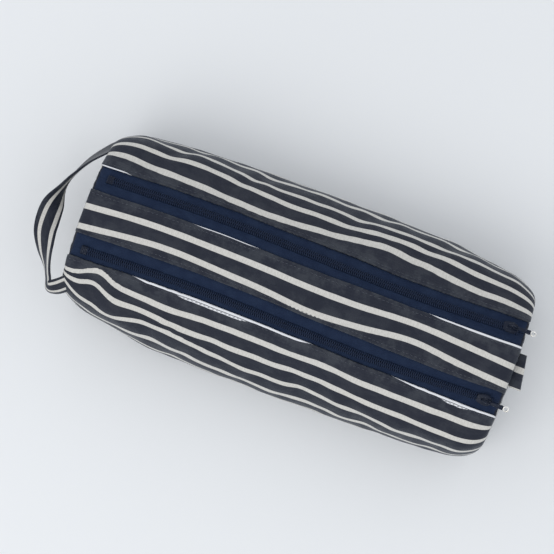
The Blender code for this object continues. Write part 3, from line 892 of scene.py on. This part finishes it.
def stitch_row(name, body, xs, across):
    """One row of topstitching: short rounded threads that sink into the cloth at their ends."""
    parts, weights = [], []
    for x in xs:
        t = np.linspace(-1, 1, 6)
        places = x + t * STITCH_LENGTH / 2
        d = across(places)
        sink = THREAD_RADIUS * 1.6 * np.abs(t) ** 3 - STITCH_LIFT
        path = under_cloth(places, d, sink)
        up = normals(cloth, np.array([x]), np.array([d[2]]))[0]
        parts.append(tube(path, THREAD_RADIUS * (1 - 0.45 * np.abs(t) ** 2), 6, up))
        weights.append(float(lip_weight(np.array(x), np.array(d[2]))))
    obj, owner = joined(name, parts, THREAD)
    if body == "lip":
        follow_lip(obj)
    else:
        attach(obj, body)


def topstitching():
    """Stitches along the four folds beside the zips."""
    xs = np.arange(-0.1715, 0.1720, STITCH_PITCH)
    for suffix, side in SIDES.items():
        stitch_row(f"strip_stitches_{suffix}", "bag", xs,
                   lambda x, s=side: s * (strip_edge(x, s) - STITCH_FROM_FOLD))
        stitch_row(f"wrap_stitches_{suffix}", "lip", xs,
                   lambda x, s=side: s * (wrap_edge(x, s) + STITCH_FROM_FOLD))


# -------- zips

def half_name(kind, suffix, outer):
    return f"{'outer' if outer else 'inner'}_{kind}_{suffix}"


def fasten_half(obj, kind, suffix, outer):
    """Fixes half a zip to the bag if it is the inner half; the outer half only has its transform baked into
    its points.
    """
    if outer:
        follow_lip(obj)
        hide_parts(f"lip_{kind}_{suffix}")
    else:
        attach(obj, "bag")
        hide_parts(f"zip_{kind}_{suffix}")


def zip_tape(suffix, outer):
    """Half of a zip's woven tape."""
    side = SIDES[suffix]
    if outer:
        steps = [ZIP_MIDDLE, 0.0302, 0.0312, 0.0322, 0.0328, 0.0331, 0.0335, 0.0342, 0.0350, 0.0360,
                 0.0370, 0.0380, 0.0400, TAPE_OUTER_EDGE]
    else:
        steps = [TAPE_HIDDEN_EDGE, 0.0170, 0.0190, 0.0205, 0.0215, 0.0225, 0.0235, 0.0245, 0.0254, 0.0258,
                 0.0261, 0.0266, 0.0276, 0.0288, ZIP_MIDDLE]
    steps = np.array(steps)
    xs = stations(-HALF - 0.0004, HALF + 0.0004)
    x, a = np.meshgrid(xs, steps, indexing="ij")
    slit = 0.00003 + 0.00017 * smooth(xs, STOP_START, COIL_START)
    if outer:
        a[:, 0] += slit
    else:
        a[:, -1] -= slit
    rib = 0.00025 * hump(np.abs(a - ZIP_MIDDLE), COIL_HALF_WIDTH + 0.0003, 0.00035)
    wave = 0.00018 * ripples(x + 2 * a, 0.019, 1.0 + side + outer)
    top = TAPE_DEPTH - rib + wave
    d = side * a
    if side < 0:
        x, d, top = x[:, ::-1], d[:, ::-1], top[:, ::-1]
    facts = {"fabric": np.stack([x, np.abs(d), 0 * x], -1)}
    obj = shell(half_name("tape", suffix, outer), x, d, top, top + TAPE, [TAPE_LOOK], facts)
    fasten_half(obj, "tape", suffix, outer)


def zip_coil(suffix, outer):
    """Half of a zip's coil: nylon loops, each a filament from the tape's edge to its locking head."""
    side = SIDES[suffix]
    sign = 1 if outer else -1
    reach = np.array([-0.0007, -0.0005, 0.0002, 0.0012, 0.0022, 0.0029, 0.0031])
    rise = np.array([0.0007, 0.0014, 0.0019, 0.0021, 0.0019, 0.0012, 0.0003])
    lean = np.array([-0.00022, -0.0002, -0.0001, 0.0, 0.0001, 0.0002, 0.00022])
    start = COIL_START + (TOOTH_PITCH / 2 if outer else 0)
    parts, weights = [], []
    for x in np.arange(start, COIL_END, TOOTH_PITCH):
        a = ZIP_MIDDLE + sign * reach
        path = under_cloth(x + lean, side * a, TAPE_DEPTH - rise)
        parts.append(tube(path, TOOTH_RADIUS, 6, (1, 0, 0)))
        weights.append(float(lip_weight(np.array(x), np.array(ZIP_MIDDLE))))
    obj, owner = joined(half_name("coil", suffix, outer), parts, COIL)
    fasten_half(obj, "coil", suffix, outer)


def soften(obj):
    """Rounds a small hard piece's edges."""
    bevel = obj.modifiers.new("rounded edges", "BEVEL")
    bevel.width = HARD_EDGE
    bevel.segments = 3
    bevel.limit_method = "ANGLE"
    bevel.angle_limit = math.radians(28)
    obj.data.shade_smooth()


def extruded(name, outline, low, high, look, place):
    """A plate of the given plan outline between two heights, put in place by a matrix."""
    n = len(outline)
    points = [Vector((x, y, z)) for z in (low, high) for x, y in outline]
    faces = [list(range(n))[::-1], [n + k for k in range(n)]]
    faces += [[k, (k + 1) % n, n + (k + 1) % n, n + k] for k in range(n)]
    return new_piece(name, [place @ p for p in points], faces, [look], flat=True)


def slider_frame(suffix):
    """The place of a slider's pull axis, and its tilt about X."""
    flip = joint(f"{suffix}_pull_flip")
    axis = flip["axis"]
    tilt = math.atan2(-axis[2], -axis[1])
    return Matrix.Translation(flip["pos_m"]) @ Matrix.Rotation(tilt, 4, "X")


def slider(suffix):
    """Slider: waisted plates above and below the coil, side flanges, and the bridge that holds the pull."""
    place = slider_frame(suffix) @ Matrix.Translation((-AXIS_AHEAD, 0, -AXIS_ABOVE))
    half, wide = SLIDER_HALF_LENGTH, SLIDER_HALF_WIDTH
    outline = []
    for n in range(13):
        angle = math.radians(-60 + 10 * n)
        outline.append((0.0022 + (half - 0.0022) * math.cos(angle), wide * 0.93 * math.sin(angle)))
    tail = [(0.0010, wide), (-0.0018, wide * 0.90), (-0.0046, wide * 0.74), (-half, wide * 0.60)]
    outline += tail + [(x, -y) for x, y in tail[::-1]]
    plate = extruded("slider_plate_" + suffix, outline, *PLATE, LACQUER, place)
    under = extruded("slider_underside_" + suffix, outline, *UNDERSIDE, LACQUER, place)
    for obj in (plate, under):
        soften(obj)
        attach(obj, suffix + "_slider")
    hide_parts("slider_" + suffix)
    parts = []
    for flank in (-1, 1):
        rail = [(-0.0046, flank * wide * 0.70, 0.0013), (-0.0018, flank * wide * 0.86, 0.0011),
                (0.0012, flank * wide * 0.95, 0.0010), (0.0036, flank * wide * 0.84, 0.0012)]
        parts.append(tube([place @ Vector(p) for p in rail], RAIL_WIRE, 8))
    arch = [(-0.0026, 0, 0.0022)]
    for n in range(9):
        angle = math.pi * (1 - n / 8)
        arch.append((0.0012 + 0.0034 * math.cos(angle), 0, 0.0024 + 0.0031 * math.sin(angle) ** 0.7))
    arch.append((0.0046, 0, 0.0020))
    parts.append(tube([place @ Vector(p) for p in arch], BRIDGE_WIRE, 10, (0, 1, 0)))
    post = [(0.0040, 0, z) for z in (-0.0026, -0.0010, 0.0008, 0.0016)]
    parts.append(tube([place @ Vector(p) for p in post], POST_WIRE, 8, (1, 0, 0)))
    bridge, _ = joined("slider_bridge_" + suffix, parts, LACQUER)
    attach(bridge, suffix + "_slider")


def pull(suffix):
    """Pull: a lacquered link through the bridge, a lacquered arm and a nickel ring at its tip."""
    place = slider_frame(suffix)
    loop = []
    for n in range(25):
        angle = 2 * math.pi * n / 24
        reach = LINK_LENGTH * (1 - math.cos(angle)) * 0.5 - 0.0002
        loop.append((reach, LINK_HALF_WIDTH * math.sin(angle), 0))
    link_points, link_faces = tube([place @ Vector(p) for p in loop], LINK_WIRE, 8)
    neck = [(0.0034, -0.0011), (0.0046, -0.0013), (0.0090, -0.0015), (0.0126, -0.0019), (0.0134, -0.0012)]
    neck += [(x, -y) for x, y in neck[::-1]]
    arm = extruded("pull_arm_" + suffix, neck, -ARM_HALF_THICKNESS, ARM_HALF_THICKNESS, LACQUER, place)
    soften(arm)
    link = new_piece("pull_link_" + suffix, link_points, link_faces, [LACQUER])
    centre = PULL_LENGTH - RING_INSET
    points, faces = [], []
    rounds, sides = 40, 12
    for i in range(rounds):
        a = 2 * math.pi * i / rounds
        for k in range(sides):
            b = 2 * math.pi * k / sides
            r = RING_RADIUS + RING_WIRE * math.cos(b)
            spot = Vector((centre + r * math.cos(a), r * math.sin(a), RING_WIRE * math.sin(b)))
            points.append(place @ spot)
            j, m = (i + 1) % rounds, (k + 1) % sides
            faces.append([i * sides + k, j * sides + k, j * sides + m, i * sides + m])
    ring = new_piece("pull_ring_" + suffix, points, faces, [NICKEL])
    for obj, name in ((arm, "slider_lacquer"), (link, "slider_lacquer"), (ring, "nickel")):
        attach(obj, suffix + "_pull")
    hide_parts("pull_" + suffix)


def zip_stop(suffix):
    """The moulded stop at the open end: ribs across the coil."""
    side = SIDES[suffix]
    parts = []
    crown = 0.0010 + 0.0004 * np.cos(np.linspace(-1.5, 1.5, 9))
    for x in np.linspace(STOP_START + 0.0005, COIL_START - 0.0009, 4):
        a = ZIP_MIDDLE + np.linspace(-COIL_HALF_WIDTH, COIL_HALF_WIDTH, 9)
        path = under_cloth(np.full(9, x), side * a, TAPE_DEPTH - crown)
        parts.append(tube(path, STOP_RIB, 8, (1, 0, 0)))
    obj, _ = joined("moulded_stop_" + suffix, parts, LACQUER)
    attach(obj, "bag")
    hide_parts("zip_stop_" + suffix)


# -------- carry loop and pull tab

def spline(points, steps):
    """Points on a smooth curve through a few rows of numbers."""
    p = np.asarray(points, float)
    p = np.concatenate([[2 * p[0] - p[1]], p, [2 * p[-1] - p[-2]]])
    out = []
    for a, b, c, d in zip(p, p[1:], p[2:], p[3:]):
        for t in np.linspace(0, 1, steps, endpoint=False):
            out.append(0.5 * (2 * b + (c - a) * t + (2 * a - 5 * b + 4 * c - d) * t * t
                              + (3 * b - a - 3 * c + d) * t ** 3))
    out.append(p[-2])
    return np.array(out)


def strap_facts(run, across, edge):
    """The facts that the striped look reads, for both faces of a strap."""
    spot = np.stack(np.broadcast_arrays(run, across, edge + 0.002), -1).reshape(-1, 3)
    return {"fabric": np.concatenate([spot, spot]), "line": np.zeros(2 * len(spot))}


# The loop's route: x, y, z, twist in degrees (0 lies flat, 90 stands on edge), width
LOOP_ROUTE = [
    (-0.1690, 0.0590, 0.0800, 118, 0.0120), (-0.1765, 0.0510, 0.0795, 114, 0.0170),
    (-0.1870, 0.0385, 0.0785, 106, 0.0185), (-0.1955, 0.0235, 0.0775, 96, 0.0190),
    (-0.2000, 0.0100, 0.0768, 78, 0.0190), (-0.2020, -0.0040, 0.0764, 30, 0.0190),
    (-0.2022, -0.0145, 0.0762, 8, 0.0190), (-0.2010, -0.0250, 0.0762, -16, 0.0190),
    (-0.1965, -0.0370, 0.0764, -44, 0.0190), (-0.1908, -0.0480, 0.0770, -68, 0.0185),
    (-0.1865, -0.0570, 0.0780, -72, 0.0175), (-0.1828, -0.0638, 0.0795, -64, 0.0165),
    (-0.1765, -0.0622, 0.0815, -46, 0.0155), (-0.1680, -0.0555, 0.0845, -34, 0.0140)]
LOOP_THICKNESS = 0.0015
LOOP_HALF_WIDTH = 0.0095
LOOP_CREAMS = (-0.0062, 0.0042)


def carry_loop():
    """Striped webbing loop with a plain dark inner face: on edge at the back corner, flat in the middle."""
    rows = spline(LOOP_ROUTE, 9)
    path = rows[:, :3]
    along = unit(np.gradient(path, axis=0))
    up = np.array([0.0, 0.0, 1.0])
    outward = unit(np.cross(along, up))
    lift = np.cross(outward, along)
    twist = np.radians(rows[:, 3])[:, None]
    across = outward * np.cos(twist) + lift * np.sin(twist)
    face = np.cross(across, along)
    run = run_along(path)
    shares = np.concatenate([[-1, -0.985], np.linspace(-0.96, 0.96, 21), [0.985, 1]])
    thin = LOOP_THICKNESS / 2 * np.concatenate([[0.25, 0.75], np.ones(21), [0.75, 0.25]])
    curl = 0.0011 * (shares ** 2 - 0.4)
    layers = []
    for level in (1, -1):
        points = (path[:, None] + across[:, None] * (shares[None, :] * rows[:, 4:5] / 2)[..., None]
                  - face[:, None] * curl[None, :, None]
                  + face[:, None] * (level * thin)[None, :, None])
        layers.append(points.reshape(-1, 3))
    faces, looks = shell_faces(len(rows), len(shares))
    stripe = (shares * LOOP_HALF_WIDTH - LOOP_CREAMS[0]) * PERIOD / (LOOP_CREAMS[1] - LOOP_CREAMS[0])
    facts = strap_facts(run[:, None], stripe, (1 - np.abs(shares)) * LOOP_HALF_WIDTH)
    obj = new_piece("carry_loop_webbing", np.concatenate(layers), faces[:, ::-1],
                    [WEBBING, LINING], looks, facts)
    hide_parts("carry_loop")
    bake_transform(obj)


# The tab's length as a share of the CAD's, and how much longer it is towards the front
TAB_SHARE, TAB_SKEW = 0.76, 0.26


def pull_tab():
    """Striped tab folded over on itself and sewn into the end seam between the zips."""
    low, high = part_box("pull_tab")
    reach = high.x - low.x
    middle = (low.z + high.z) / 2
    profile = spline([(-0.0022, 0.0011), (0.0000, 0.0013), (0.0030, 0.0017), (reach - 0.0022, 0.0019),
                      (reach - 0.0008, 0.0013), (reach - 0.0002, 0.0), (reach - 0.0008, -0.0013),
                      (reach - 0.0022, -0.0017), (0.0030, -0.0012), (0.0000, -0.0009), (-0.0022, -0.0006)], 6)
    turn = unit(np.gradient(profile, axis=0))
    inward = np.stack([turn[:, 1], -turn[:, 0]], -1)
    run = run_along(profile)
    ys = np.linspace(low.y, high.y, 41)
    layers = []
    for depth in (0.0, 0.0007):
        shape = profile + inward * depth
        x = low.x + shape[:, 0][None, :] * (TAB_SHARE - TAB_SKEW * ys / high.y)[:, None]
        sag = 0.0005 * ripples(ys, 0.021, 0.6)[:, None] * np.clip(shape[:, 0] / reach, 0, 1)[None, :]
        z = middle + shape[:, 1][None, :] + sag
        layers.append(np.stack([x, ys[:, None] + 0 * x, z], -1))
    faces, _ = shell_faces(len(ys), len(profile))
    facts = strap_facts(run, ys[:, None] - 0.0012, (high.y - np.abs(ys))[:, None])
    obj = new_piece("pull_tab_webbing", np.concatenate([p.reshape(-1, 3) for p in layers]), faces,
                    [WEBBING], None, facts)
    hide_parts("pull_tab")
    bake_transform(obj)


# -------- floor, light and camera

def stage():
    points = [(FLOOR_HALF * x, FLOOR_HALF * y, 0) for x, y in ((-1, -1), (1, -1), (1, 1), (-1, 1))]
    floor = new_piece("floor", points, [[0, 1, 2, 3]], [floor_look()], flat=True)
    floor.location.z = CAD_BOX[0].z - FLOOR_DROP


def lights():
    """An even pale sky and one large window lamp."""
    world = bpy.data.worlds.new("studio")
    world.use_nodes = True
    background = world.node_tree.nodes["Background"]
    background.inputs["Color"].default_value = SKY_COLOUR
    background.inputs["Strength"].default_value = SKY_STRENGTH
    bpy.context.scene.world = world
    data = bpy.data.lights.new("window", "AREA")
    data.shape = "DISK"
    data.size = WINDOW_SIZE
    data.energy = WINDOW_POWER
    data.color = WINDOW_COLOUR
    lamp = bpy.data.objects.new("window", data)
    lamp.location = WINDOW_PLACE
    lamp.rotation_mode = "QUATERNION"
    ray = Vector(WINDOW_TARGET) - Vector(WINDOW_PLACE)
    lamp.rotation_quaternion = ray.to_track_quat("-Z", "Y")
    bpy.context.scene.collection.objects.link(lamp)
    bpy.context.scene.view_settings.view_transform = "Standard"


CAMERA_PLACE = (0.0504, -0.0607, 1.7000)
CAMERA_TURN = (3.02, 1.52, 20.44)
CAMERA_LENS = 137


def camera():
    """Almost straight down, a little from the front, with the bag's length running down to the right."""
    data = bpy.data.cameras.new("camera")
    data.lens = CAMERA_LENS
    obj = bpy.data.objects.new("camera", data)
    obj.location = CAMERA_PLACE
    obj.rotation_euler = [math.radians(a) for a in CAMERA_TURN]
    bpy.context.scene.collection.objects.link(obj)
    bpy.context.scene.camera = obj


def main():
    camera()
    lights()
    stage()
    for suffix in SIDES:
        piece = wrap(suffix)
        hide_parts("lip_fabric_" + suffix)
        if suffix == "back":
            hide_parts("body_wrap")
        for outer in (False, True):
            zip_tape(suffix, outer)
            zip_coil(suffix, outer)
        zip_stop(suffix)
        slider(suffix)
        pull(suffix)
    centre_strip()
    end_panel("end_panel_left", -1)
    end_panel("end_panel_right", 1)
    divider()
    seam_binding("seam_binding_left", -1)
    seam_binding("seam_binding_right", 1)
    topstitching()
    carry_loop()
    pull_tab()


main()
